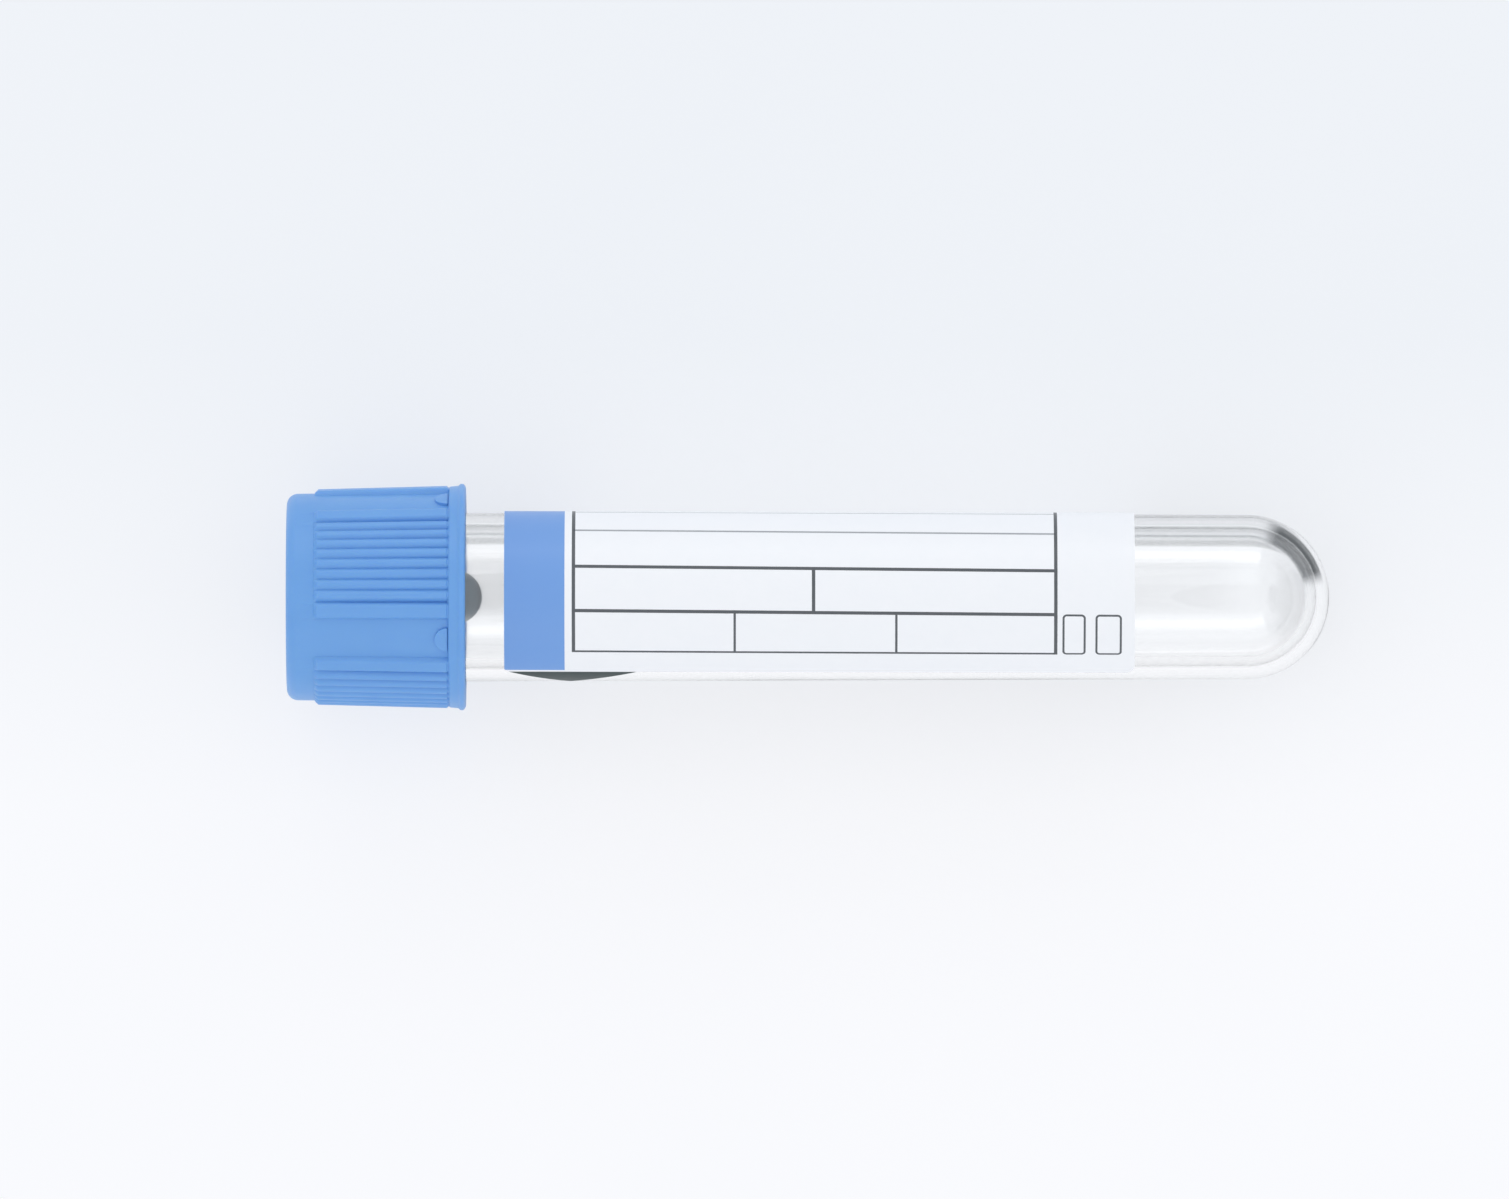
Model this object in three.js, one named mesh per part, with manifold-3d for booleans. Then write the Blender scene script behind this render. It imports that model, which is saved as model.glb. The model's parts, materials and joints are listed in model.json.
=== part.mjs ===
// A 13 x 75 mm evacuated blood collection tube with a ribbed screw cap, lying on a table.
//
// Units are millimetres. Every piece is modelled along its own local Z axis: z = 0 is the outer
// end face of the cap, and z grows towards the round end of the tube. Angles around the tube are
// in degrees, measured from the side that faces up when the tube lies down. The last section
// turns the whole assembly from that local frame into its resting place on the plane Z = 0.

import * as THREE from 'three';
import { mergeVertices } from 'three/addons/utils/BufferGeometryUtils.js';
import Module from 'manifold-3d';

const wasm = await Module();
wasm.setup();

// ---------------------------------------------------------------- driving dimensions

const facets = 40; // flats around every round piece, kept in line with each other
const seatGap = 0.05; // left between faces that rest on each other

// Outer tube and the liner inside it
const tubeLength = 75; // from the liner's collar to the round end
const rimDepth = 4.5; // how far the liner's collar lies inside the cap
const neckRadius = 6.48;
const tubeTaper = 0.18; // the radius lost between the neck and the round end
const tubeWall = 0.85;
const linerGap = 0.13; // all round, between the tube and its liner
const linerWall = 0.7;
const collarThickness = 0.6;
const collarInset = 0.15; // the collar's edge, inside the tube's outer edge
const rimRound = 0.2;
const ridgeSink = 0.2; // how far each ridge's root lies inside its wall, on the tube and the cap

// Screw thread between the neck and the cap
const threadStarts = 4;
const threadLead = 12; // axial travel in one full turn
const ridgeSpan = 50; // degrees covered by each ridge
const ridgeWidth = 1.0; // at the root
const ridgeTipWidth = 0.6;
const ridgeTipGap = 0.16; // between the tip of a ridge and the wall that it passes
const threadBelowRim = 3.4; // the middle of the tube's ridges, below its rim
const flankGap = 0.15; // between the ridges of the tube and of the cap

// Cap
const capLength = 13.65;
const skirtClearance = 0.55; // between the neck and the inside of the cap
const capWall = 0.87;
const capShoulder = 0.7; // radius of the edge round the closed end
const bodyDraft = 0.15; // the radius gained between the closed end and the flange
const flangeLength = 1.25;
const flangeStand = 0.56; // how far the flange stands out of the body, at its narrow side
const flangeDraft = 0.04;
const flangeRise = 0.12; // the sloping start of the flange
const lipStand = 0.76;
const lipToEnd = 0.33; // the middle of the lip, from the open end
const lipHalfWidth = 0.1;
const lipRise = 0.2;
const mouthRound = 0.2; // the edge round the open end, inside the flange's radius
const mouthChamfer = 0.35;
const mouthChamferLength = 0.5;
const recessInset = 1.4; // from the inside of the skirt to the ring's recess
const ledgeThickness = 1.1;
const ledgeInset = 0.85; // how far the ledge reaches in, past the ring's recess
const ceilingRound = 0.3; // where the skirt meets the ledge

// Grip ribs of the cap: the same pattern in each quarter turn
const gripQuarters = 4;
const gripStart = 2.1;
const gripRamp = 0.35; // the sloping start of the ribs
const ribHeightAtStart = 0.32;
const ribHeightAtFlange = 0.46;
const ribShoulder = 0.09; // how far the ribs' shoulders lie below their crests
const ribSink = 0.3; // how far the roots of the ribs and studs lie inside the body
const ribFlank = 1.1; // degrees, as are the next sizes
const ribRound = 0.9;
const fineRibHalfAngle = 2.6;
const finePitch = 5.85;
const fineRibs = 8; // in each quarter
const panelMiddle = 23.6; // from the top of the lying tube
const wideRibHalfAngle = 4.6;
const wideRibOffset = 15.9; // from the middle of a panel to the wide rib on each side of it
const studRadius = 0.95; // the low round stud at the flange end of each panel
const studToFlange = 0.35;

// Retaining ring in the end of the cap
const ringThickness = 0.6;
const ringWidth = 1.83; // from its hole to its edge
const ringClearance = 0.1;
const ringChamfer = 0.12;
const ringHoleChamfer = 0.15;
const beadHeight = 0.15; // the bead that snaps into the cap
const beadFromFoot = 0.1; // its crest, above the face that rests on the stopper
const beadHalfWidth = 0.15;
const grooveHalfWidth = 0.35; // of the groove in the cap that takes the bead
const grooveFlat = 0.15; // half the groove's full-depth part

// Rubber stopper
const stopperTop = 0.95; // from the cap's end face
const topFlangeThickness = 0.5;
const waistClearance = 0.1; // between the stopper's waist and the hole in the cap's ledge
const flangeClearance = 0.15; // between its top flange and the ring's recess
const wellWall = 1.38; // of rubber between the well and the waist
const wellRound = 0.15;
const wellDepth = 2.3; // of the straight part that guides the needle
const funnelEnd = 0.45; // the funnel's end radius, as a share of the well's
const funnelDepth = 7; // of the whole well
const funnelTip = 0.5; // the rounded end past that depth
const headClearance = 0.53; // between the stopper's head and the skirt
const headRound = 0.2;
const plugClearance = 0.06; // between the sealing beads and the liner
const beadStand = 0.14; // how far each sealing bead stands out of the plug
const sealingBeads = 3;
const firstBead = 1.2; // from the liner's collar
const beadPitch = 1.3;
const sealHalfWidth = 0.3; // of each sealing bead
const plugLength = 5.2; // the straight part that seals in the liner
const plugTaper = 0.3;
const plugTaperLength = 0.35;
const noseRadius = 2.04;
const noseTip = 10.37; // from the liner's collar to the tip of the nose

// Label
const labelFromCap = 2.95;
const labelToRound = 8.6; // left bare between the label and the round end
const labelGap = 0.03;
const labelThickness = 0.1;
const labelEdgeAngle = 60; // the edge beside the clear window, at the cap's end
const labelSkew = 0.55; // how far that edge has run on round the tube at the other end
const windowAngle = 75; // left clear between the two edges
const labelCorner = 0.8;
const markStart = 0.6; // the pointed fill mark, from the label's end
const markLength = 8.9;
const markReach = 18; // degrees past the label's edge
const trimOverrun = 2; // how far the label's cut runs on past its ends

// Additive
const poolDepth = 2.0; // of the liquid, where the round end begins
const poolGap = 0.05;
const poolFromPlug = 1; // the nearest it can come to the plug

// ---------------------------------------------------------------- derived places

const rimZ = rimDepth;
const tubeRimZ = rimZ + collarThickness + seatGap;
const bottomRadius = neckRadius - tubeTaper;
const sphereZ = rimZ + tubeLength - bottomRadius;
const skirtRadius = neckRadius + skirtClearance;
const ridgeHeight = skirtClearance - ridgeTipGap;
const capRadius = skirtRadius + capWall;
const flangeRadius = capRadius + flangeStand;
const lipRadius = capRadius + lipStand;
const flangeZ = capLength - flangeLength;
const lipZ = capLength - lipToEnd;
const ringFootZ = stopperTop - seatGap;
const ledgeZ = stopperTop + topFlangeThickness + seatGap;
const headZ = ledgeZ + ledgeThickness + seatGap;
const recessRadius = skirtRadius - recessInset;
const ledgeHole = recessRadius - ledgeInset;
const linerInset = tubeWall + linerGap; // from the tube's outside to the liner's outside
const boreInset = linerInset + linerWall; // from the tube's outside to the bore
const boreRadius = neckRadius - boreInset;
const lugZ = tubeRimZ + threadBelowRim;
const labelStartZ = capLength + labelFromCap;
const labelEndZ = sphereZ - labelToRound;

const radians = THREE.MathUtils.degToRad;
const along = (z) => (z - tubeRimZ) / (sphereZ - tubeRimZ);
const tubeRadiusAt = (z) => neckRadius - tubeTaper * along(z);

// ---------------------------------------------------------------- shaping helpers

// A point of a cross-section, at a radius and an angle round the tube.
function polar(radius, degrees) {
  return new THREE.Vector2(radius * Math.sin(radians(degrees)), -radius * Math.cos(radians(degrees)));
}

// Points (r, z) of a round stretch in a turned profile.
function arc(r, z, radius, fromDegrees, toDegrees, steps) {
  const points = [];
  for (let i = 0; i <= steps; i++) {
    const angle = radians(fromDegrees + ((toDegrees - fromDegrees) * i) / steps);
    points.push([Math.max(r + radius * Math.cos(angle), 0), z + radius * Math.sin(angle)]);
  }
  return points;
}

// The closed body inside a geometry, with its faces pointing out.
function solid(geometry) {
  const bare = geometry.index ? geometry : mergeVertices(geometry);
  bare.deleteAttribute('normal');
  bare.deleteAttribute('uv');
  const merged = mergeVertices(bare, 1e-5);
  const position = merged.attributes.position;
  const corner = [new THREE.Vector3(), new THREE.Vector3(), new THREE.Vector3()];
  const triangles = [];
  let volume = 0;
  for (let i = 0; i < merged.index.count; i += 3) {
    const ids = [0, 1, 2].map((k) => merged.index.getX(i + k));
    if (new Set(ids).size < 3) continue;
    ids.forEach((id, k) => corner[k].fromBufferAttribute(position, id));
    volume += corner[0].dot(corner[1].clone().cross(corner[2]));
    triangles.push(ids);
  }
  const outward = volume < 0 ? triangles.map(([a, b, c]) => [a, c, b]) : triangles;
  return new wasm.Manifold(
    new wasm.Mesh({
      numProp: 3,
      vertProperties: new Float32Array(position.array),
      triVerts: new Uint32Array(outward.flat()),
    }),
  );
}

function geometryOf(body) {
  const mesh = body.getMesh();
  const geometry = new THREE.BufferGeometry();
  geometry.setAttribute('position', new THREE.BufferAttribute(new Float32Array(mesh.vertProperties), 3));
  geometry.setIndex(new THREE.BufferAttribute(new Uint32Array(mesh.triVerts), 1));
  geometry.computeVertexNormals();
  return geometry;
}

// Revolves a profile of [r, z] points. It starts and ends on the axis, or it is closed here.
function turned(profile) {
  const points = profile.map(([r, z]) => new THREE.Vector2(r, z));
  const last = points[points.length - 1];
  const onAxis = points[0].x === 0 && last.x === 0;
  if (!onAxis) points.push(points[0].clone());
  const start = Math.PI / facets; // half a flat round, so that a flat lies on the table
  return solid(new THREE.LatheGeometry(points, facets, start, 2 * Math.PI).rotateX(Math.PI / 2));
}

// Extrudes an outline along the tube.
function prism(points, fromZ, toZ) {
  const options = { depth: toZ - fromZ, bevelEnabled: false };
  return new THREE.ExtrudeGeometry(new THREE.Shape(points), options).translate(0, 0, fromZ);
}

// One ridge of the screw thread: a bar bent round the axis along the thread's helix.
function threadRidge(rootRadius, tipRadius, middleZ, middleDegrees) {
  const steps = 8;
  const bar = new THREE.BoxGeometry(1, 1, 1, steps, 1, 1);
  const position = bar.attributes.position;
  for (let i = 0; i < position.count; i++) {
    const height = position.getY(i) + 0.5;
    const slopedEnd = 1 - 0.2 * height;
    const turn = position.getX(i) * ridgeSpan * slopedEnd;
    const width = THREE.MathUtils.lerp(ridgeWidth, ridgeTipWidth, height);
    const point = polar(THREE.MathUtils.lerp(rootRadius, tipRadius, height), middleDegrees + turn);
    const z = middleZ + (threadLead * turn) / 360 + position.getZ(i) * width;
    position.setXYZ(i, point.x, point.y, z);
  }
  return solid(bar);
}

function thread(body, rootRadius, tipRadius, middleZ) {
  let result = body;
  for (let i = 0; i < threadStarts; i++) {
    const middleDegrees = ((i + 0.5) * 360) / threadStarts;
    result = result.add(threadRidge(rootRadius, tipRadius, middleZ, middleDegrees));
  }
  return result;
}

// ---------------------------------------------------------------- outer tube

// A blown round-bottomed tube. Both walls narrow together towards the round end.
function outerTube() {
  const innerBottom = bottomRadius - tubeWall;
  const shell = turned([
    [neckRadius - tubeWall, tubeRimZ],
    ...arc(neckRadius - rimRound, tubeRimZ + rimRound, rimRound, -90, 0, 2),
    ...arc(0, sphereZ, bottomRadius, 0, 90, 9),
    ...arc(0, sphereZ, innerBottom, 90, 0, 8),
  ]);
  return thread(shell, neckRadius - ridgeSink, neckRadius + ridgeHeight, lugZ);
}

// ---------------------------------------------------------------- liner

// The inner tube that holds the sample. Its collar lies on the outer tube's rim.
function innerTube() {
  const outside = bottomRadius - linerInset;
  const inside = bottomRadius - boreInset;
  const collarRadius = neckRadius - collarInset;
  const neckOutside = neckRadius - linerInset;
  return turned([
    [boreRadius + rimRound, rimZ],
    ...arc(collarRadius - rimRound, rimZ + rimRound, rimRound, -90, 0, 2),
    [collarRadius, rimZ + collarThickness],
    [neckOutside, rimZ + collarThickness],
    ...arc(0, sphereZ, outside, 0, 90, 8),
    ...arc(0, sphereZ, inside, 90, 0, 8),
    [boreRadius, rimZ + rimRound],
  ]);
}

// ---------------------------------------------------------------- cap

// The cap's plain outer form: shoulder, drafted body, flange and lip.
function capBlank() {
  return turned([
    [0, 0],
    ...arc(capRadius - capShoulder, capShoulder, capShoulder, -90, 0, 5),
    [capRadius + bodyDraft, flangeZ],
    [flangeRadius, flangeZ + flangeRise],
    [flangeRadius + flangeDraft, lipZ - lipHalfWidth - lipRise],
    [lipRadius, lipZ - lipHalfWidth],
    [lipRadius, lipZ + lipHalfWidth],
    [flangeRadius - mouthRound, capLength],
    [0, capLength],
  ]);
}

// One rib of the grip's cross-section: two flanks and a rounded crest.
function rib(middle, halfAngle) {
  const floor = capRadius - ribSink;
  const crest = capRadius + ribHeightAtStart;
  const shoulderAngle = halfAngle - ribFlank;
  const crestAngle = shoulderAngle - ribRound;
  return [
    polar(floor, middle - halfAngle),
    polar(crest - ribShoulder, middle - shoulderAngle),
    polar(crest, middle - crestAngle),
    polar(crest, middle + crestAngle),
    polar(crest - ribShoulder, middle + shoulderAngle),
    polar(floor, middle + halfAngle),
  ];
}

// One quarter of the grip: a group of fine ribs, then a plain panel between two wide ribs.
function gripQuarter(turn) {
  const panel = turn + panelMiddle;
  const group = panel - 180 / gripQuarters;
  const points = [];
  for (let i = 0; i < fineRibs; i++) {
    points.push(...rib(group + (i - (fineRibs - 1) / 2) * finePitch, fineRibHalfAngle));
  }
  points.push(...rib(panel - wideRibOffset, wideRibHalfAngle));
  points.push(...rib(panel + wideRibOffset, wideRibHalfAngle));
  return points;
}

// All the ribs. They stand further out towards the flange, as the mould's draft needs.
function gripRibs() {
  const outline = [];
  for (let i = 0; i < gripQuarters; i++) outline.push(...gripQuarter((i * 360) / gripQuarters));
  const ribs = prism(outline, gripStart, flangeZ + 0.05);
  const growth = (bodyDraft + ribHeightAtFlange - ribHeightAtStart) / capRadius;
  const position = ribs.attributes.position;
  for (let i = 0; i < position.count; i++) {
    const drafted = 1 + (growth * (position.getZ(i) - gripStart)) / (flangeZ - gripStart);
    position.setX(i, position.getX(i) * drafted);
    position.setY(i, position.getY(i) * drafted);
  }
  const crest = capRadius + ribHeightAtStart;
  const slopeEnd = gripStart + 2 * gripRamp;
  const ramped = turned([
    [0, gripStart],
    [capRadius - 0.02, gripStart],
    [crest + ribHeightAtStart, slopeEnd],
    [crest + ribHeightAtStart, flangeZ + 1],
    [0, flangeZ + 1],
  ]);
  return solid(ribs).intersect(ramped);
}

// A low round stud that stands on a panel, against the flange.
function panelStud(turn) {
  const middle = turn + panelMiddle;
  const root = capRadius - ribSink;
  const top = capRadius + bodyDraft + ribHeightAtStart;
  const pin = new THREE.CylinderGeometry(studRadius, studRadius, top - root, 16);
  const centre = polar((root + top) / 2, middle);
  pin.rotateZ(radians(middle));
  pin.translate(centre.x, centre.y, flangeZ - studToFlange);
  return solid(pin);
}

// The inside of the cap: the skirt's bore, the hole in the ledge and the ring's recess.
function capCavity() {
  const ceilingZ = ledgeZ + ledgeThickness;
  return turned([
    [0, -1],
    [recessRadius, -1],
    [recessRadius, ringFootZ - grooveHalfWidth],
    [recessRadius + beadHeight, ringFootZ - grooveFlat],
    [recessRadius + beadHeight, ringFootZ + grooveFlat],
    [recessRadius, ringFootZ + grooveHalfWidth],
    [recessRadius, ledgeZ],
    [ledgeHole, ledgeZ],
    [ledgeHole, ceilingZ],
    [skirtRadius - ceilingRound, ceilingZ],
    [skirtRadius, ceilingZ + ceilingRound],
    [skirtRadius, capLength - mouthChamferLength],
    [skirtRadius + mouthChamfer, capLength],
    [skirtRadius + mouthChamfer, capLength + 1],
    [0, capLength + 1],
  ]);
}

function cap() {
  let blank = capBlank().add(gripRibs());
  for (let i = 0; i < gripQuarters; i++) blank = blank.add(panelStud((i * 360) / gripQuarters));
  const shell = blank.subtract(capCavity());
  const ridgeZ = lugZ + (ridgeWidth + ridgeTipWidth) / 2 + flankGap;
  return thread(shell, skirtRadius + ridgeSink, skirtRadius - ridgeHeight, ridgeZ);
}

// ---------------------------------------------------------------- retaining ring

function capRing() {
  const outside = recessRadius - ringClearance;
  const hole = outside - ringWidth;
  const face = ringFootZ - ringThickness;
  const bead = ringFootZ - beadFromFoot;
  return turned([
    [hole + ringHoleChamfer, face],
    [outside - ringChamfer, face],
    [outside, face + ringChamfer],
    [outside, bead - beadHalfWidth],
    [outside + beadHeight - seatGap / 2, bead],
    [outside, ringFootZ],
    [hole, ringFootZ],
    [hole, face + ringHoleChamfer],
  ]);
}

// ---------------------------------------------------------------- stopper

// A turned rubber plug: top flange, waist in the cap's ledge, head, sealing beads and nose.
function stopper() {
  const flangeEdge = recessRadius - flangeClearance;
  const waist = ledgeHole - waistClearance;
  const well = waist - wellWall;
  const funnel = well * funnelEnd;
  const funnelZ = stopperTop + funnelDepth;
  const head = skirtRadius - headClearance;
  const headEnd = rimZ - seatGap;
  const plug = boreRadius - plugClearance - beadStand;
  const plugEnd = rimZ + plugLength;
  const noseZ = rimZ + noseTip - noseRadius;
  const beads = [];
  for (let i = 0; i < sealingBeads; i++) {
    const z = rimZ + firstBead + i * beadPitch;
    beads.push([plug, z - sealHalfWidth], [plug + beadStand, z], [plug, z + sealHalfWidth]);
  }
  return turned([
    [0, funnelZ + funnelTip],
    [funnel * 0.7, funnelZ + funnelTip * 0.7],
    [funnel, funnelZ],
    [well, stopperTop + wellDepth],
    [well, stopperTop + wellRound],
    [well + wellRound, stopperTop],
    [flangeEdge, stopperTop],
    [flangeEdge, stopperTop + topFlangeThickness],
    [waist, stopperTop + topFlangeThickness],
    [waist, headZ],
    [head - headRound, headZ],
    [head, headZ + headRound],
    [head, headEnd - headRound],
    [head - headRound, headEnd],
    [plug, headEnd],
    ...beads,
    [plug, plugEnd],
    [plug - plugTaper, plugEnd + plugTaperLength],
    ...arc(0, noseZ, noseRadius, 20, 90, 6),
  ]);
}

// ---------------------------------------------------------------- label

// The part of the label's band that is cut away, drawn flat: x runs round the tube, y along it.
function windowOutline() {
  const startZ = labelStartZ;
  const endZ = labelEndZ;
  const half = windowAngle / 2;
  const radius = tubeRadiusAt(startZ) + labelGap + labelThickness;
  const edge = -radius * Math.sin(radians(half));
  const shape = new THREE.Shape();
  shape.moveTo(edge - labelCorner, startZ - trimOverrun);
  shape.lineTo(edge - labelCorner, startZ);
  shape.quadraticCurveTo(edge, startZ, edge, startZ + labelCorner);
  const slope = labelSkew / (endZ - startZ);
  const edgeAt = (z) => edge + slope * (z - startZ);
  const markMiddle = startZ + markStart + markLength / 2;
  const tip = -radius * Math.sin(radians(half - markReach));
  shape.lineTo(edgeAt(startZ + markStart + labelCorner), startZ + markStart + labelCorner);
  shape.lineTo(tip, markMiddle);
  shape.lineTo(edgeAt(startZ + markStart + markLength), startZ + markStart + markLength);
  shape.lineTo(edgeAt(endZ - labelCorner), endZ - labelCorner);
  shape.quadraticCurveTo(edgeAt(endZ), endZ, edgeAt(endZ) - labelCorner, endZ);
  shape.lineTo(edgeAt(endZ) - labelCorner, endZ + trimOverrun);
  const farEdge = -edge + labelCorner;
  shape.lineTo(farEdge + labelSkew, endZ + trimOverrun);
  shape.lineTo(farEdge + labelSkew, endZ);
  shape.quadraticCurveTo(-edge + labelSkew, endZ, -edge + labelSkew, endZ - labelCorner);
  shape.lineTo(-edge, startZ + labelCorner);
  shape.quadraticCurveTo(-edge, startZ, farEdge, startZ);
  shape.lineTo(farEdge, startZ - trimOverrun);
  return shape;
}

// A sheet wrapped round the tube, open at a window along one side.
function label() {
  const startInner = tubeRadiusAt(labelStartZ) + labelGap;
  const endInner = tubeRadiusAt(labelEndZ) + labelGap;
  const band = turned([
    [startInner, labelStartZ],
    [startInner + labelThickness, labelStartZ],
    [endInner + labelThickness, labelEndZ],
    [endInner, labelEndZ],
  ]);
  const middle = radians(labelEdgeAngle + windowAngle / 2);
  const round = new THREE.Vector3(Math.cos(middle), Math.sin(middle), 0);
  const outwards = new THREE.Vector3(Math.sin(middle), -Math.cos(middle), 0);
  const facing = new THREE.Matrix4().makeBasis(round, new THREE.Vector3(0, 0, 1), outwards);
  const options = { depth: neckRadius + 2, bevelEnabled: false, curveSegments: 4 };
  const cutter = new THREE.ExtrudeGeometry(windowOutline(), options).applyMatrix4(facing);
  return band.subtract(solid(cutter));
}

// ---------------------------------------------------------------- resting place

// The tube lies on the lip of its cap and on its round end, so its axis slopes by this angle.
const fromLip = Math.hypot(sphereZ - lipZ, lipRadius);
const restTilt = Math.atan2(lipRadius, sphereZ - lipZ) - Math.asin(bottomRadius / fromLip);

// The liquid lies in the lowest part of the liner, under a level surface.
function citratePool() {
  const inset = boreInset + poolGap;
  const end = bottomRadius - inset;
  const startZ = rimZ + plugLength + poolFromPlug;
  const inside = turned([
    [0, startZ],
    [tubeRadiusAt(startZ) - inset, startZ],
    ...arc(0, sphereZ, end, 0, 90, 8),
  ]);
  const reach = 2 * tubeLength;
  const air = new THREE.BoxGeometry(reach, reach, reach);
  air.translate(0, -reach / 2, 0);
  air.rotateX(restTilt);
  air.translate(0, end - poolDepth, sphereZ);
  return inside.subtract(solid(air));
}

// ---------------------------------------------------------------- assembly

const clearPlastic = { color: 0xeef3f6, roughness: 0.05, metalness: 0, transparent: true };
const materials = {
  outer_tube: new THREE.MeshStandardMaterial({ ...clearPlastic, opacity: 0.3 }),
  inner_tube: new THREE.MeshStandardMaterial({ ...clearPlastic, opacity: 0.25 }),
  cap: new THREE.MeshStandardMaterial({ color: 0x6a9ddc, roughness: 0.45, metalness: 0 }),
  cap_ring: new THREE.MeshStandardMaterial({ color: 0x1d1e20, roughness: 0.4, metalness: 0 }),
  stopper: new THREE.MeshStandardMaterial({ color: 0x6f858f, roughness: 0.7, metalness: 0 }),
  label: new THREE.MeshStandardMaterial({ color: 0xf4f6f8, roughness: 0.5, metalness: 0 }),
  citrate_solution: new THREE.MeshStandardMaterial({ ...clearPlastic, opacity: 0.2 }),
};

const assembly = new THREE.Group();
const pieces = {
  outer_tube: outerTube(),
  inner_tube: innerTube(),
  cap: cap(),
  cap_ring: capRing(),
  stopper: stopper(),
  label: label(),
  citrate_solution: citratePool(),
};
for (const [name, body] of Object.entries(pieces)) {
  const mesh = new THREE.Mesh(geometryOf(body), materials[name]);
  mesh.name = name;
  assembly.add(mesh);
}

// Local Z runs along +X and down, and the side at angle 0 faces up.
const sin = Math.sin(restTilt);
const cos = Math.cos(restTilt);
const lying = new THREE.Matrix4().makeBasis(
  new THREE.Vector3(0, -1, 0),
  new THREE.Vector3(-sin, 0, -cos),
  new THREE.Vector3(cos, 0, -sin),
);
const lowestX = -(capRadius - capShoulder) * sin;
const highestX = sphereZ * cos + bottomRadius;
assembly.quaternion.setFromRotationMatrix(lying);
assembly.position.set(-(lowestX + highestX) / 2, 0, lipRadius * cos + lipZ * sin);

const part = new THREE.Group();
part.add(assembly);

export default part;
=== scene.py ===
# %% [markdown]
# # A blood collection tube on a pale table
#
# The real object is a clear tube of 13 by 75 mm with a second tube, its liner, inside it. A rubber
# stopper seals the liner, a ribbed blue screw cap holds the stopper by a ledge, a dark ring closes
# the end of the cap, and a printed label is wrapped round the tube.
#
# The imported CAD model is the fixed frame: it says where every piece is and how it moves. This
# lesson builds a smooth, finished piece over each CAD node.

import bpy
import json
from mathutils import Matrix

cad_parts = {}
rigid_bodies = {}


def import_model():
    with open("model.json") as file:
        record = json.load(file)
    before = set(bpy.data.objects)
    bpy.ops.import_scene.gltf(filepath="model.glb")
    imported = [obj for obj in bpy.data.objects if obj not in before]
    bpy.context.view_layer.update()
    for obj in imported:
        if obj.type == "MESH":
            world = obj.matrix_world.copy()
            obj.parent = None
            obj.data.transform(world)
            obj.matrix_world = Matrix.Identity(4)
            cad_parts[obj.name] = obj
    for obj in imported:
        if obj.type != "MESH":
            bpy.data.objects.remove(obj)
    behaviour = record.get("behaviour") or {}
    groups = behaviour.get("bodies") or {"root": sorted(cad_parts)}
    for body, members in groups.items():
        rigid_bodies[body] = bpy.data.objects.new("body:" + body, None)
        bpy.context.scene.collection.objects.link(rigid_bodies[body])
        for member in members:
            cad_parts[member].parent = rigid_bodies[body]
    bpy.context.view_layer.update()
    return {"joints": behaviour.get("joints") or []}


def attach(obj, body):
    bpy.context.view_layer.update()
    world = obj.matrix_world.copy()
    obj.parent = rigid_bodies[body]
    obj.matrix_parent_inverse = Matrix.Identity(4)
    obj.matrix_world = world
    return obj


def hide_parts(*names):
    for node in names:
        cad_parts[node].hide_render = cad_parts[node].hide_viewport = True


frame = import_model()

# %% [markdown]
# ## A workbench for round pieces
#
# Nearly every piece is round about one axis, and the tube lies at a slight slope, on the lip of its
# cap and on its round end. It is easiest to model each piece upright about the z axis, in
# millimetres, and to lay it down when it is done. The axis comes from the frame: the cap's screw
# joint lies on it, at the outer face of the cap. Height 0 is that face, and heights grow towards the
# round end.
#
# The CAD pieces have 40 flat sides. The smooth pieces are drawn to touch the middle of those
# flats, so they stay inside the CAD model's outline.

# %% The lying place
import math

import bpy
from mathutils import Matrix, Vector

cad_sides = 40
screw = next(joint for joint in frame["joints"] if joint["name"] == "cap_turn")
tube_axis = -Vector(screw["axis"]).normalized()
cap_face = Vector(screw["pos_m"])
front = Vector((0, -1, 0))
below = tube_axis.cross(front)

to_upright = Matrix((front, below, tube_axis))
lying = to_upright.transposed().to_4x4()
lying.translation = cap_face
slim = math.cos(math.pi / cad_sides)
lying = lying @ Matrix.Diagonal((slim / 1000, slim / 1000, 1 / 1000, 1))
slope = math.asin(-tube_axis.z)
print("The axis slopes by", round(math.degrees(slope), 2), "degrees")

# %% [markdown]
# ## The camera, the table and the light
#
# The tube is seen from above, square to its axis and from far away, so the lens is long. The table
# is pale, with painted shading that makes it a little darker on the far side than on the near side,
# and the light is plain: a wide soft lamp on the far side, a weaker one on the near side and an even
# sky. Clear plastic shows itself only by what it bends and mirrors. In an even pale room it would
# vanish, so two flat cards with painted shade lie on the table: one beside and under the tube, which
# carries the tube's painted shadow and painted dark lines along its edges, and one round its closed
# end, which carries a painted dark reflection for the crescent there. They fade out at their edges,
# and only light that has come through clear plastic sees them.

# %% Camera
scene = bpy.context.scene
scene.view_settings.view_transform = "Standard"

picture_width = 0.11509
camera_distance = 2.4
camera_target = Vector((-0.00395, -0.00019, 0.00778))
camera_data = bpy.data.cameras.new("camera")
camera_data.sensor_width = 36
camera_data.lens = camera_data.sensor_width * camera_distance / picture_width
camera_data.clip_end = 10
camera = bpy.data.objects.new("camera", camera_data)
camera.matrix_world = Matrix((tube_axis, -front, -below)).transposed().to_4x4()
camera.location = camera_target - below * camera_distance
scene.collection.objects.link(camera)
scene.camera = camera
print("The lens is", round(camera_data.lens), "mm long")


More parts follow.
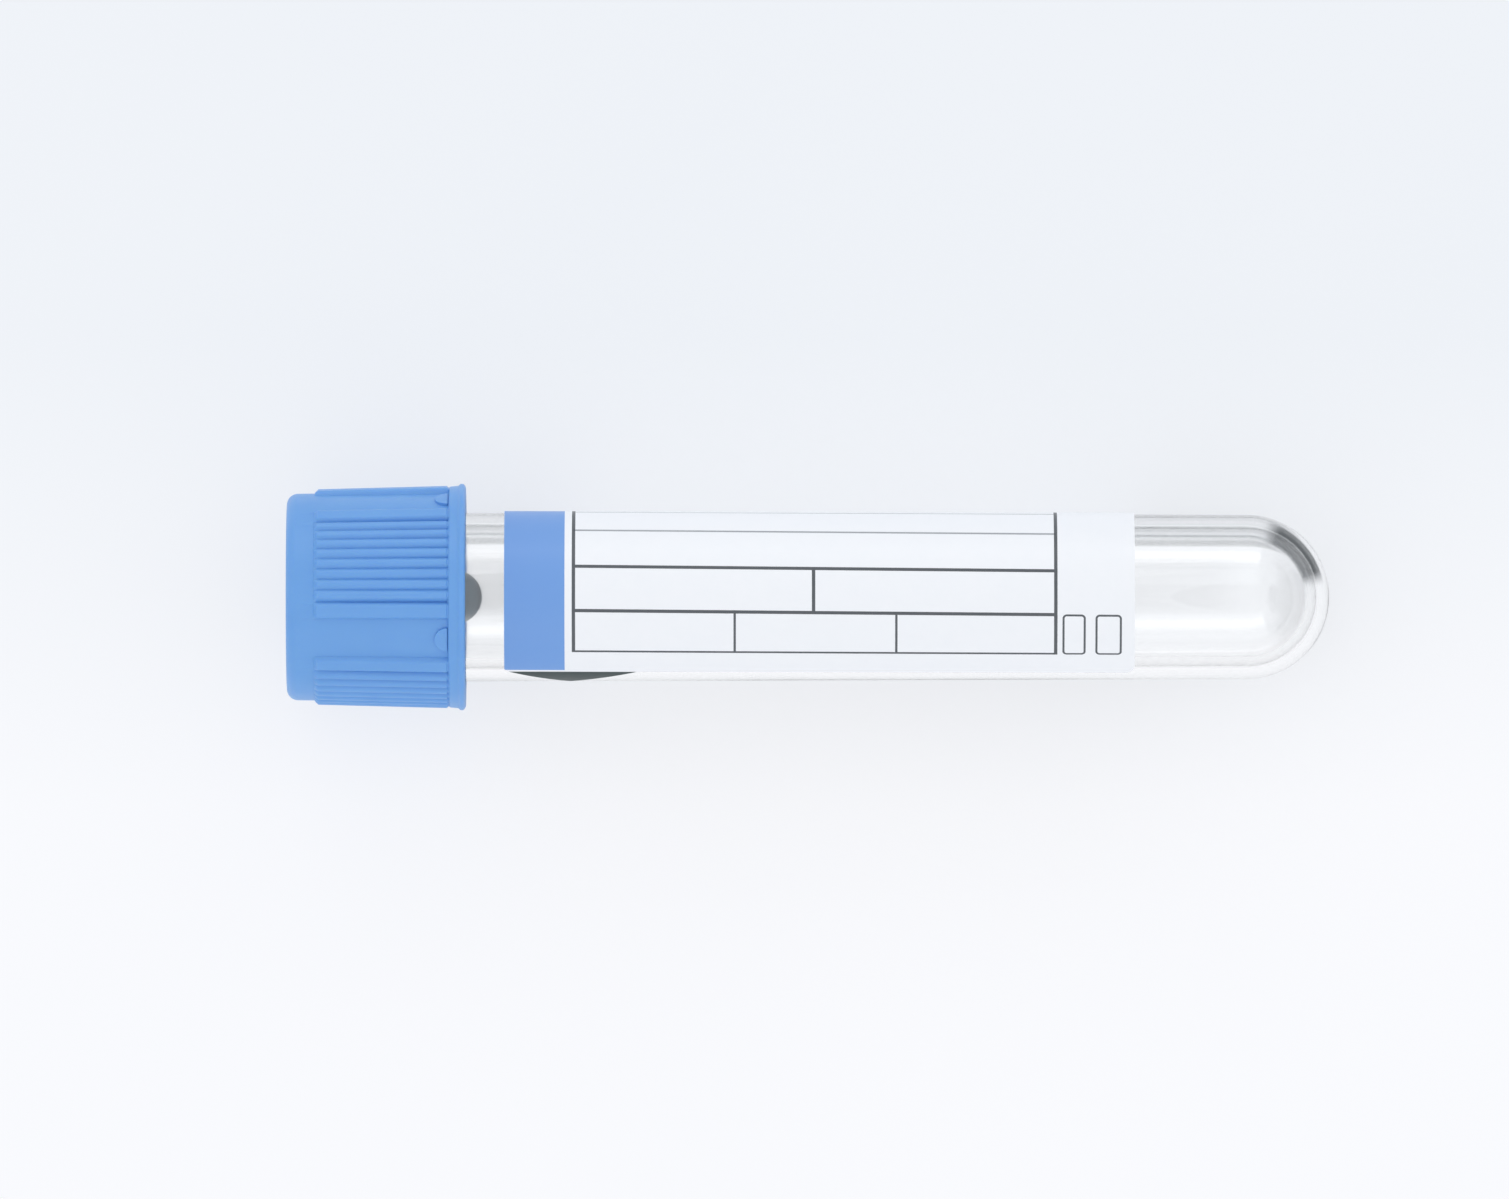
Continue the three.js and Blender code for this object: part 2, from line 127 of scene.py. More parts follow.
# %% A short way to write materials
def material_of(name):
    """A new node material; returns it with its tree and its Principled shader."""
    made = bpy.data.materials.new(name)
    made.use_nodes = True
    return made, made.node_tree, made.node_tree.nodes["Principled BSDF"]


def add_node(tree, kind, inputs=None, **settings):
    """Adds a node, with its settings, and values or links for its input sockets."""
    made = tree.nodes.new(kind)
    for key, value in settings.items():
        setattr(made, key, value)
    for key, value in (inputs or {}).items():
        if isinstance(value, bpy.types.NodeSocket):
            tree.links.new(value, made.inputs[key])
        else:
            made.inputs[key].default_value = value
    return made


def calculate(tree, operation, *values, clamp=False):
    """The output of a Math node."""
    made = add_node(tree, "ShaderNodeMath", dict(enumerate(values)), operation=operation)
    made.use_clamp = clamp
    return made.outputs[0]


def blend_colours(tree, share, first, second):
    """Mixes two colours, each one a plain colour or a link."""
    made = add_node(tree, "ShaderNodeMix", {0: share}, data_type="RGBA")
    for index, colour in ((6, first), (7, second)):
        if isinstance(colour, bpy.types.NodeSocket):
            tree.links.new(colour, made.inputs[index])
        else:
            made.inputs[index].default_value = (*colour, 1)
    return made.outputs[2]


# %% Table
# The table's colour runs from far_tint to near_tint: painted shading, darker on the far side and lighter on
# the near side.
far_tint = (0.850, 0.882, 0.925)
near_tint = (0.975, 0.978, 1.0)
far_edge = 0.02
near_edge = -0.016
cloud_share = 0.3
own_glow = 0.72

bpy.ops.object.select_all(action="DESELECT")
bpy.ops.mesh.primitive_plane_add(size=6)
table = bpy.context.object
table.name = "table"
table_finish, tree, shader = material_of("table_top")
object_place = add_node(tree, "ShaderNodeTexCoord").outputs["Object"]
clouds = add_node(tree, "ShaderNodeTexNoise", {"Vector": object_place, "Scale": 14.0, "Detail": 2.0})
across = add_node(tree, "ShaderNodeSeparateXYZ", {"Vector": object_place}).outputs["Y"]
nearness = add_node(tree, "ShaderNodeMapRange", {
    "Value": across, "From Min": far_edge, "From Max": near_edge,
}).outputs["Result"]
gradient = calculate(tree, "MULTIPLY", nearness, 1 - cloud_share)
tint_share = calculate(tree, "MULTIPLY_ADD", clouds.outputs["Fac"], cloud_share, gradient)
tint = blend_colours(tree, tint_share, far_tint, near_tint)
tree.links.new(tint, shader.inputs["Base Color"])
shader.inputs["Roughness"].default_value = 0.8
shader.inputs["Specular IOR Level"].default_value = 0.2
ray = add_node(tree, "ShaderNodeLightPath").outputs
direct = calculate(tree, "ADD", ray["Is Camera Ray"], ray["Is Glossy Ray"], clamp=True)
own_share = calculate(tree, "MULTIPLY", direct, own_glow)
seen = calculate(tree, "MAXIMUM", own_share, ray["Is Transmission Ray"])
glow = add_node(tree, "ShaderNodeEmission", {"Color": tint, "Strength": 1.0})
even = add_node(tree, "ShaderNodeMixShader", {0: seen, 1: shader.outputs[0], 2: glow.outputs[0]})
tree.links.new(even.outputs[0], tree.nodes["Material Output"].inputs["Surface"])
table.data.materials.append(table_finish)
print("The table is", table.dimensions.x, "m wide")


# %% Lamps and sky
def soft_lamp(name, place, size, watts, colour):
    """An area lamp of that width and height that faces the tube."""
    data = bpy.data.lights.new(name, "AREA")
    data.shape = "RECTANGLE"
    data.size, data.size_y = size
    data.energy = watts
    data.color = colour
    lamp = bpy.data.objects.new(name, data)
    lamp.location = place
    lamp.rotation_euler = (-Vector(place)).to_track_quat("-Z", "Y").to_euler()
    lamp.visible_camera = False
    scene.collection.objects.link(lamp)
    return lamp


soft_lamp("far_window", (-0.10, 0.98, 0.47), (1.0, 0.40), 1.25, (1.0, 1.0, 1.0))
soft_lamp("near_fill", (0.10, -0.82, 0.78), (1.0, 0.80), 0.85, (0.98, 0.99, 1.0))

sky = bpy.data.worlds.new("sky")
sky.use_nodes = True
scene.world = sky
sky.node_tree.nodes["Background"].inputs["Color"].default_value = (0.965, 0.975, 1.0, 1)
sky.node_tree.nodes["Background"].inputs["Strength"].default_value = 0.94
light_bounces = 24
scene.cycles.max_bounces = light_bounces
scene.cycles.transmission_bounces = light_bounces
scene.cycles.transparent_max_bounces = light_bounces
print("Lamps:", [lamp.name for lamp in bpy.data.lights])


# %% Soft cards of painted shade
def fade(tree, value, start, end):
    """0 before the start, 1 after the end, and a soft step between them."""
    made = add_node(tree, "ShaderNodeMapRange", {
        "Value": value, "From Min": start, "From Max": end,
    }, interpolation_type="SMOOTHSTEP")
    return made.outputs["Result"]


def painted_dark_card_finish(name):
    """A black card finish for painted shade that can fade out; returns the socket for its share and its
    coordinates.
    """
    made, tree, shader = material_of(name)
    shader.inputs["Base Color"].default_value = (0.02, 0.03, 0.035, 1)
    shader.inputs["Roughness"].default_value = 0.9
    nothing = add_node(tree, "ShaderNodeBsdfTransparent")
    mix = add_node(tree, "ShaderNodeMixShader", {1: nothing.outputs[0], 2: shader.outputs[0]})
    tree.links.new(mix.outputs[0], tree.nodes["Material Output"].inputs["Surface"])
    millimetres = add_node(tree, "ShaderNodeMapping", {
        "Vector": add_node(tree, "ShaderNodeTexCoord").outputs["Object"], "Scale": (1000, 1000, 1000),
    })
    return made, tree, mix.inputs[0], millimetres.outputs[0]


def lay_card(name, place, size, material):
    """A flat card on the table that carries painted shade, seen only through clear plastic."""
    bpy.ops.object.select_all(action="DESELECT")
    bpy.ops.mesh.primitive_plane_add(size=1, location=place)
    card = bpy.context.object
    card.name = name
    card.scale = (*size, 1)
    bpy.ops.object.transform_apply(location=False, rotation=False, scale=True)
    card.data.materials.append(material)
    card.visible_camera = card.visible_diffuse = card.visible_glossy = card.visible_shadow = False


# %% Painted shade beside and under the tube
card_height = 0.0006
spread_at_middle = 1.08
spread_along_tube = -0.0028

painted_shade_beside_tube, tree, mix, place = painted_dark_card_finish("painted_shade_beside_tube")
apart = add_node(tree, "ShaderNodeSeparateXYZ", {"Vector": place}).outputs
widening = calculate(tree, "MULTIPLY_ADD", apart["X"], spread_along_tube, spread_at_middle)
aside = calculate(tree, "DIVIDE", apart["Y"], widening)


def painted_shade_strip(low, high, soft, strength):
    """Painted shade from low to high beside the tube, in millimetres, with soft edges."""
    rising = fade(tree, aside, low - soft, low + soft)
    falling = fade(tree, aside, high + soft, high - soft)
    return calculate(tree, "MULTIPLY", calculate(tree, "MULTIPLY", rising, falling), strength)


# Painted shade: a dark line close beside the tube where its contact shadow falls, a faint veil and a second
# dark line further out, the tube's painted shadow under it, and darker shade in the gap beside the cap.
near_line = painted_shade_strip(6.0, 8.3, 0.3, 0.9)
veil = painted_shade_strip(8.3, 14.0, 0.4, 0.25)
far_line = painted_shade_strip(15.8, 20.0, 0.8, 0.9)
under = calculate(tree, "MULTIPLY", painted_shade_strip(-1.2, 4.0, 0.7, 1.0), fade(tree, apart["X"], 34.0, 30.0))
beside_cap = fade(tree, apart["X"], -19.0, -22.5)
under_share = calculate(tree, "MULTIPLY_ADD", beside_cap, 0.20, 0.17)
gap_share = calculate(tree, "MULTIPLY", beside_cap, painted_shade_strip(-8.0, 5.0, 1.0, 0.18))
dark = calculate(tree, "ADD", calculate(tree, "MULTIPLY", under, under_share), gap_share)
for part in (near_line, veil, far_line):
    dark = calculate(tree, "ADD", dark, part, clamp=True)
for start, end in ((41.0, 36.0), (-30.0, -27.0)):
    dark = calculate(tree, "MULTIPLY", dark, fade(tree, apart["X"], start, end))
tree.links.new(dark, mix)
lay_card("painted_shade_card", (0.0, 0.0, card_height), (0.090, 0.060), painted_shade_beside_tube)
print("The side card lies at", card_height * 1000, "mm")


# %% A painted dark reflection at the round end
round_end_middle = 0.0336
painted_dark_crescent, tree, mix, place = painted_dark_card_finish("painted_dark_crescent")
apart = add_node(tree, "ShaderNodeSeparateXYZ", {"Vector": place})
distance = add_node(tree, "ShaderNodeVectorMath", {0: place}, operation="LENGTH").outputs["Value"]
bearing = calculate(tree, "ARCTAN2", apart.outputs["Y"], apart.outputs["X"])
# A dark ring round the closed end: a painted dark reflection that draws the dark crescent in the round end.
dark = calculate(tree, "MULTIPLY", fade(tree, distance, 8.2, 9.4), fade(tree, distance, 25.0, 18.5))
dark = calculate(tree, "MULTIPLY", dark, fade(tree, bearing, math.radians(8), math.radians(22)))
dark = calculate(tree, "MULTIPLY", dark, fade(tree, bearing, math.radians(80), math.radians(62)))
tree.links.new(dark, mix)
lay_card("painted_crescent_card", (round_end_middle, 0.0, card_height), (0.12, 0.12), painted_dark_crescent)
print("The ring card is centred at", round_end_middle * 1000, "mm")

# %% [markdown]
# ## Helpers for modelling
#
# A round piece starts as an outline, a row of edges drawn by extruding one vertex from point to
# point, and spin turns it about the axis. Parts that aren't round are then shaped in edit mode: what
# an operator should act on is selected first, by its place. `finish` lays a piece down and hangs
# it on the body that it moves with.


# %% Selecting
def start_clean():
    """Object mode with nothing selected, because operators act on all that is selected."""
    if bpy.context.object and bpy.context.object.mode != "OBJECT":
        bpy.ops.object.mode_set(mode="OBJECT")
    bpy.ops.object.select_all(action="DESELECT")


def choose(piece):
    """Selects one piece and makes it the active one."""
    start_clean()
    piece.select_set(True)
    bpy.context.view_layer.objects.active = piece


def pick(piece, kind, test):
    """In edit mode, selects the vertices (VERT) or faces (FACE) whose middle passes a test."""
    choose(piece)
    bpy.ops.object.mode_set(mode="EDIT")
    bpy.ops.mesh.select_mode(type=kind)
    bpy.ops.mesh.select_all(action="DESELECT")
    bpy.ops.object.mode_set(mode="OBJECT")
    for item in piece.data.vertices if kind == "VERT" else piece.data.polygons:
        item.select = test(item.co if kind == "VERT" else item.center)
    bpy.ops.object.mode_set(mode="EDIT")


# %% Outlines and turned pieces
def arc(radius, height, size, start, end, steps):
    """Points (radius, height) of a round stretch about a centre, with angles in degrees."""
    turns = [math.radians(start + (end - start) * i / steps) for i in range(steps + 1)]
    return [(max(radius + size * math.cos(t), 0), height + size * math.sin(t)) for t in turns]


def outline(name, points):
    """A row of edges through points (x, z), drawn by extruding a single vertex."""
    start_clean()
    bpy.ops.mesh.primitive_plane_add(size=1)
    piece = bpy.context.object
    piece.name = piece.data.name = name
    bpy.ops.object.mode_set(mode="EDIT")
    bpy.ops.mesh.merge(type="CENTER")
    bpy.ops.transform.translate(value=(points[0][0], 0, points[0][1]))
    for (x, z), (next_x, next_z) in zip(points, points[1:]):
        step = (next_x - x, 0, next_z - z)
        bpy.ops.mesh.extrude_region_move(TRANSFORM_OT_translate={"value": step})
    return piece


def weld():
    """Merges vertices that lie on each other and points all faces outwards."""
    bpy.ops.mesh.select_all(action="SELECT")
    bpy.ops.mesh.remove_doubles(threshold=0.001)
    bpy.ops.mesh.normals_make_consistent(inside=False)
    bpy.ops.object.mode_set(mode="OBJECT")


def turned(name, points, steps):
    """A solid of revolution. Its outline ends on the axis, or is closed here."""
    if points[0][0] > 0 or points[-1][0] > 0:
        points = [*points, points[0]]
    piece = outline(name, points)
    bpy.ops.mesh.select_all(action="SELECT")
    bpy.ops.mesh.spin(steps=steps, angle=math.tau, center=(0, 0, 0), axis=(0, 0, 1))
    weld()
    return piece


# %% Joining and finishing
def spun(piece, degrees):
    """Turns a piece about the z axis for good."""
    choose(piece)
    piece.rotation_euler.z = math.radians(degrees)
    bpy.ops.object.transform_apply(location=False, rotation=True, scale=False)
    return piece


def copied(piece, degrees):
    """A copy with its own mesh, turned about the z axis."""
    choose(piece)
    bpy.ops.object.duplicate(linked=False)
    return spun(bpy.context.object, degrees)


def combine(piece, tools, operation):
    """Adds tools, or cuts them away, with a Boolean modifier, and removes them."""
    choose(tools[0])
    for tool in tools:
        tool.select_set(True)
    if len(tools) > 1:
        bpy.ops.object.join()
    tool = bpy.context.object
    choose(piece)
    cut = piece.modifiers.new("combine", "BOOLEAN")
    cut.operation = operation
    cut.solver = "EXACT"
    cut.object = tool
    bpy.ops.object.modifier_apply(modifier=cut.name)
    bpy.data.objects.remove(tool)


sharpest_smooth = 35


def finish(piece, node, body, material):
    """Lays a piece down in its place and lets it stand for a CAD node."""
    choose(piece)
    piece.matrix_world = lying
    bpy.ops.object.transform_apply(location=True, rotation=True, scale=True)
    bpy.ops.object.shade_smooth_by_angle(angle=math.radians(sharpest_smooth))
    piece.data.materials.clear()
    piece.data.materials.append(material)
    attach(piece, body)
    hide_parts(node)
    print(piece.name, "has", len(piece.data.polygons), "faces")


# %% [markdown]
# ## Coordinates for the finishes
#
# A finished piece keeps its place in its mesh, so Object coordinates are the same as the frame's. A
# Mapping node brings them back to the upright bench in millimetres, where heights run along
# the tube and angles run round it. Patterns can then follow the tube without any image.


# %% Bench coordinates in a material
def bench_place(tree):
    """Object coordinates turned back to the upright bench, in millimetres."""
    mapping = add_node(tree, "ShaderNodeMapping", {
        "Vector": add_node(tree, "ShaderNodeTexCoord").outputs["Object"],
        "Location": to_upright @ cap_face * -1000,
        "Rotation": to_upright.to_euler(),
        "Scale": (1000, 1000, 1000),
    })
    return mapping.outputs["Vector"]


def noise(tree, place, size, detail=2.0, stretch=(1, 1, 1)):
    """Noise whose blotches are about `size` millimetres wide."""
    scaled = add_node(tree, "ShaderNodeMapping", {"Vector": place, "Scale": stretch})
    return add_node(tree, "ShaderNodeTexNoise", {
        "Vector": scaled.outputs["Vector"], "Scale": 1 / size, "Detail": detail,
    }).outputs["Fac"]


def spread(tree, value, low, high):
    """Stretches a 0 to 1 value between two others."""
    made = add_node(tree, "ShaderNodeMapRange", {"Value": value, "To Min": low, "To Max": high})
    return made.outputs["Result"]


def set_bump(tree, shader, height, millimetres):
    """Raises the surface by up to that much where the height is 1."""
    bump = add_node(tree, "ShaderNodeBump", {"Height": height, "Distance": millimetres / 1000})
    tree.links.new(bump.outputs["Normal"], shader.inputs["Normal"])


# %% [markdown]
# ## Clear plastic
#
# The tube is blown from PET, and its liner is moulded from polypropylene, which is a little less
# clear. Both bend light, so the shader is fully transmissive. Real blown walls are never quite
# even, and a very shallow, long-waved bump gives the bright lines in the walls their slight
# unrest. Lamps should light what is inside the tube, so for shadow rays the plastic is simply
# transparent.
#
# The citrate solution is nearly all water, which bends light by 1.33 and wets the wall that it lies
# on. Here a film of air is left round it, because touching bodies must not meet, and that film
# would draw a bright rim. A lower value keeps the liquid as faint as it really is.


# %% Clear finishes
def clear_finish(name, colour, ior, rough, waves):
    """A clear plastic or liquid, with faint scuffs and a wall that waves by so many millimetres."""
    made, tree, shader = material_of(name)
    place = bench_place(tree)
    shader.inputs["Transmission Weight"].default_value = 1.0
    shader.inputs["IOR"].default_value = ior
    cloud = noise(tree, place, 6.0)
    tree.links.new(blend_colours(tree, cloud, colour, (1.0, 1.0, 1.0)), shader.inputs["Base Color"])
    scuffs = noise(tree, place, 1.5, 4.0, (1, 1, 0.15))
    tree.links.new(spread(tree, scuffs, rough * 0.6, rough * 1.4), shader.inputs["Roughness"])
    set_bump(tree, shader, noise(tree, place, 5.0, 1.0, (1, 1, 0.12)), waves)
    passing = add_node(tree, "ShaderNodeBsdfTransparent")
    passing.inputs["Color"].default_value = (*(value ** 2 for value in colour), 1)
    rays = add_node(tree, "ShaderNodeLightPath")
    mix = add_node(tree, "ShaderNodeMixShader", {
        0: rays.outputs["Is Shadow Ray"], 1: shader.outputs[0], 2: passing.outputs[0],
    })
    tree.links.new(mix.outputs[0], tree.nodes["Material Output"].inputs["Surface"])
    return made


blown_pet = clear_finish("blown_pet", (0.993, 0.996, 0.997), 1.575, 0.02, 0.02)
moulded_liner = clear_finish("moulded_liner", (0.990, 0.994, 0.996), 1.49, 0.05, 0.02)
citrate = clear_finish("citrate", (0.995, 0.998, 0.998), 1.15, 0.01, 0.0)
print("Clear finishes:", blown_pet.name, moulded_liner.name, citrate.name)

# %% [markdown]
# ## The outer tube
#
# A round-bottomed tube could be made from a sphere and a cylinder, but its wall has an inside too,
# and one outline holds them both: up the outside, round the bottom, and back up the inside. The
# wall loses 0.18 mm of radius from neck to bottom, as a mould needs.
#
# Four short ridges of screw thread stand on its neck. A ridge is a small outline carried along a
# helix by the Screw modifier, with its two open ends filled and its edges bevelled.

# %% Sizes of the tube, in millimetres
collar_height = 4.5
tube_rim = 5.15
neck_radius = 6.48
round_radius = 6.29
round_height = 73.2
tube_taper = neck_radius - round_radius
tube_wall = 0.85
liner_gap = 0.13
liner_wall = 0.7
rim_round = 0.2
tube_steps = 192
thread_lead = 12
thread_height = 8.55
ridge_span = 50
ridge_rise = 0.39
ridge_sink = 0.2
ridge_half_root = 0.5
ridge_half_tip = 0.3


def tube_radius(height):
    """The tube narrows evenly from its rim to its round end."""
    return neck_radius - tube_taper * (height - tube_rim) / (round_height - tube_rim)


def side(inset, low, high):
    """Points up a wall, with rings close to both ends so that the shading stays true."""
    heights = [low + 0.3, *(low + (high - low) * step / 6 for step in range(1, 6)), high - 0.3]
    return [(tube_radius(height) - inset, height) for height in heights]


print("The tube narrows by", round(tube_taper, 2), "mm")


# %% A thread ridge
def thread_ridge(name, root, tip, height):
    """A ridge that climbs by the lead of the thread, centred on angle 0."""
    climb = thread_lead * ridge_span / 360
    low = height - climb / 2
    corners = [
        (root, low - ridge_half_root), (tip, low - ridge_half_tip),
        (tip, low + ridge_half_tip), (root, low + ridge_half_root),
    ]
    piece = outline(name, [*corners, corners[0]])
    weld()
    bend = piece.modifiers.new("helix", "SCREW")
    bend.angle = math.radians(ridge_span)
    bend.screw_offset = climb
    bend.steps = bend.render_steps = 20
    bend.use_merge_vertices = True
    bpy.ops.object.modifier_apply(modifier=bend.name)
    bpy.ops.object.mode_set(mode="EDIT")
    bpy.ops.mesh.select_all(action="SELECT")
    bpy.ops.mesh.remove_doubles(threshold=0.001)
    bpy.ops.mesh.select_all(action="SELECT")
    bpy.ops.mesh.fill_holes(sides=8)
    weld()
    bevel = piece.modifiers.new("soft_edges", "BEVEL")
    bevel.width = 0.09
    bevel.segments = 3
    bevel.limit_method = "ANGLE"
    bpy.ops.object.modifier_apply(modifier=bevel.name)
    return spun(piece, -ridge_span / 2)


def add_thread(piece, root, tip, height):
    """Four ridges, a quarter turn apart, halfway between the top and the sides."""
    ridge = spun(thread_ridge("ridge", root, tip, height), -45)
    combine(piece, [ridge, *(copied(ridge, turn) for turn in (90, 180, 270))], "UNION")


# %% Outer tube
clear_tube = turned("clear_tube", [
    *arc(neck_radius - tube_wall + rim_round, tube_rim + rim_round, rim_round, 180, 270, 4),
    *arc(neck_radius - rim_round, tube_rim + rim_round, rim_round, -90, 0, 4),
    *side(0, tube_rim + rim_round, round_height),
    *arc(0, round_height, round_radius, 0, 90, 36),
    *arc(0, round_height, round_radius - tube_wall, 90, 0, 32),
    *reversed(side(tube_wall, tube_rim + rim_round, round_height)),
], tube_steps)
add_thread(clear_tube, neck_radius - ridge_sink, neck_radius + ridge_rise, thread_height)
finish(clear_tube, "outer_tube", "tube", blown_pet)

# %% [markdown]
# ## The liner
#
# The liner holds the sample. It hangs in the tube by a flat collar that lies on the tube's rim, and
# a thin film of air is left between the two walls. That film is what draws the double lines along
# the sides of the finished tube.

# %% Liner
liner_inset = tube_wall + liner_gap
bore_inset = liner_inset + liner_wall
bore_radius = neck_radius - bore_inset
collar_radius = neck_radius - 0.15
collar_foot = collar_height + 0.6
clear_liner = turned("clear_liner", [
    *arc(bore_radius + rim_round, collar_height + rim_round, rim_round, 180, 270, 4),
    *arc(collar_radius - rim_round, collar_height + rim_round, rim_round, -90, 0, 4),
    (collar_radius, collar_foot - 0.05), (collar_radius - 0.05, collar_foot),
    (neck_radius - liner_inset, collar_foot),
    *side(liner_inset, collar_foot, round_height),
    *arc(0, round_height, round_radius - liner_inset, 0, 90, 32),
    *arc(0, round_height, round_radius - bore_inset, 90, 0, 28),
    *reversed(side(bore_inset, collar_height + rim_round, round_height)),
], tube_steps)
finish(clear_liner, "inner_tube", "tube", moulded_liner)

# %% [markdown]
# ## The liquid
#
# A few drops of citrate solution lie in the round end. The bore is filled by turning its outline,
# and the full body is cut by a level plane and closed there with bisect.

# %% Liquid
pool_start = 11.0
pool_depth = 2.0
pool_gap = 0.02
pool_radius = round_radius - bore_inset - pool_gap
citrate_pool = turned("citrate_pool", [
    (0, pool_start), (tube_radius(pool_start) - bore_inset - pool_gap, pool_start),
    *side(bore_inset + pool_gap, pool_start, round_height),
    *arc(0, round_height, pool_radius, 0, 90, 24),
], 128)
pick(citrate_pool, "VERT", lambda place: True)
bpy.ops.mesh.bisect(
    plane_co=(0, pool_radius - pool_depth, round_height),
    plane_no=(0, -math.cos(slope), -math.sin(slope)),
    use_fill=True, clear_outer=True,
)
weld()
finish(citrate_pool, "citrate_solution", "tube", citrate)

# %% [markdown]
# ## The cap
#
# The cap is one blue moulding. Its outline goes from the hole in its end, over the shoulder and down
# the grip to the flange and the thin lip at its mouth, and back up the inside. The grip repeats in
# every quarter turn: eight fine ribs, then a plain panel between two wide ribs.
#
# The ribs could be separate bars joined on, but the real ones are part of the wall. The outline is
# spun in 492 columns, 123 to a quarter, and whole rows of vertices are scaled away from the axis.
# Each rib then has a soft crest and a soft root, it rises from the body on a short ramp, and it
# stands out further towards the flange, as the draft of a mould asks.

# %% Sizes of the cap, in millimetres
cap_length = 13.65
cap_radius = 7.90
cap_draft = 0.15
cap_shoulder = 0.85
skirt_radius = 7.03
ledge_height = 1.5
ledge_end = 2.6
recess_radius = 5.63
ledge_hole = 4.78
grip_start = 2.1
grip_ramp = 0.3
grip_end = 12.3
flange_height = 12.42
flange_radius = 8.46
lip_start = 13.19
lip_end = 13.48
lip_radius = 8.66
mouth_radius = 7.45
skirt_middle = 8.0
groove_middle = 0.9
groove_depth = 0.15
columns = 492
quarter_columns = columns // 4
first_column = -134.82


def body_radius(height):
    """The plain body between the shoulder and the flange, which widens by the draft."""
    return cap_radius + cap_draft * (height - cap_shoulder) / (flange_height - cap_shoulder)


print("The body widens to", round(body_radius(flange_height), 2), "mm at the flange")


# %% Cap body
grip_rows = [grip_start, grip_start + 0.1, grip_start + grip_ramp, 5.0, 8.5, grip_end - 0.1, grip_end]
ribbed_cap = turned("ribbed_cap", [
    (recess_radius, 0.12), (recess_radius + 0.12, 0.0),
    *arc(cap_radius - cap_shoulder, cap_shoulder, cap_shoulder, -90, 0, 10),
    *((body_radius(height), height) for height in grip_rows),
    (flange_radius - 0.08, flange_height - 0.02), (flange_radius - 0.02, flange_height + 0.03),
    (flange_radius, flange_height + 0.12), (flange_radius + 0.04, lip_start - 0.21),
    (flange_radius + 0.07, lip_start - 0.09), (lip_radius - 0.04, lip_start),
    (lip_radius, lip_start + 0.06), (lip_radius, lip_end - 0.08), (lip_radius - 0.03, lip_end),
    (lip_radius - 0.14, lip_end + 0.10), (lip_radius - 0.30, cap_length), (mouth_radius, cap_length),
    (mouth_radius - 0.09, cap_length - 0.04), (skirt_radius, cap_length - 0.5),
    (skirt_radius, skirt_middle), (skirt_radius, ledge_end + 0.3),
    (skirt_radius - 0.09, ledge_end + 0.09), (skirt_radius - 0.3, ledge_end),
    (ledge_hole + 0.1, ledge_end), (ledge_hole, ledge_end - 0.1), (ledge_hole, ledge_height),
    (recess_radius, ledge_height), (recess_radius, groove_middle + 0.35),
    (recess_radius + groove_depth, groove_middle + 0.15),
    (recess_radius + groove_depth, groove_middle - 0.15), (recess_radius, groove_middle - 0.35),
], columns)
print("Cap body:", len(ribbed_cap.data.polygons), "faces")

# %% Ribs
fine_rib_columns = 8
fine_ribs = 8
wide_rib_columns = 13
panel_columns = 31
rib_shoulder = [0.0, 0.52, 0.88, 0.98]
fine_shoulder = [0.38, 0.66, 0.9, 0.98]
rib_rise_at_start = 0.32
rib_draft = 0.013
share_on_ramp = 0.45
share_at_end = 0.75


def share_in_rib(column, width, shoulder):
    """The share of a column in a rib so many columns wide: up its shoulder, then 1 on its crest."""
    from_root = min(column, width - column)
    return shoulder[from_root] if from_root < len(shoulder) else 1.0


def rib_share(column):
    """How far a column of vertices stands out, from 0 on the body to 1 on a crest."""
    fine_end = fine_rib_columns * fine_ribs
    if column <= fine_end:
        return share_in_rib(column % fine_rib_columns, fine_rib_columns, fine_shoulder)
    first_wide = fine_end + 1
    second_wide = first_wide + wide_rib_columns + panel_columns
    for start in (first_wide, second_wide):
        if start <= column <= start + wide_rib_columns:
            return share_in_rib(column - start, wide_rib_columns, rib_shoulder)
    return 0.0


def column_of(place):
    """The column that a vertex of the cap is in, counted within its quarter."""
    turn = math.degrees(math.atan2(place.y, place.x)) % 360
    return round(turn * columns / 360) % quarter_columns


for height in grip_rows[1:]:
    rise = rib_rise_at_start + rib_draft * (height - grip_start)
    if height < grip_start + grip_ramp:
        rise *= share_on_ramp
    if height == grip_end:
        rise *= share_at_end
    for share in sorted({*rib_shoulder[1:], *fine_shoulder, 1.0}):
        pick(ribbed_cap, "VERT", lambda place: (
            abs(place.z - height) < 0.02
            and place.xy.length > cap_radius - 0.1
            and rib_share(column_of(place)) == share
        ))
        factor = 1 + rise * share / body_radius(height)
        bpy.ops.transform.resize(value=(factor, factor, 1), center_override=(0, 0, height))
bpy.ops.object.mode_set(mode="OBJECT")
widest = max(vertex.co.xy.length for vertex in ribbed_cap.data.vertices)
print("The cap's widest radius is", round(widest, 2), "mm")

# %% [markdown]
# ## The cap's studs and thread
#
# A low half-round stud stands on each plain panel, with its straight side against the
# flange. It is a cylinder, cut in half with bisect and bevelled. The thread inside the cap is the
# tube's thread turned inwards, 0.95 mm further on, so that the cap's ridges hook behind the
# tube's. All of them are joined to the wall in one Boolean step.

# %% Studs
stud_radius = 0.95
stud_rise = 0.18
stud_depth = 1.0
stud_middle = grip_end - 0.04
panel_middle = 23.6


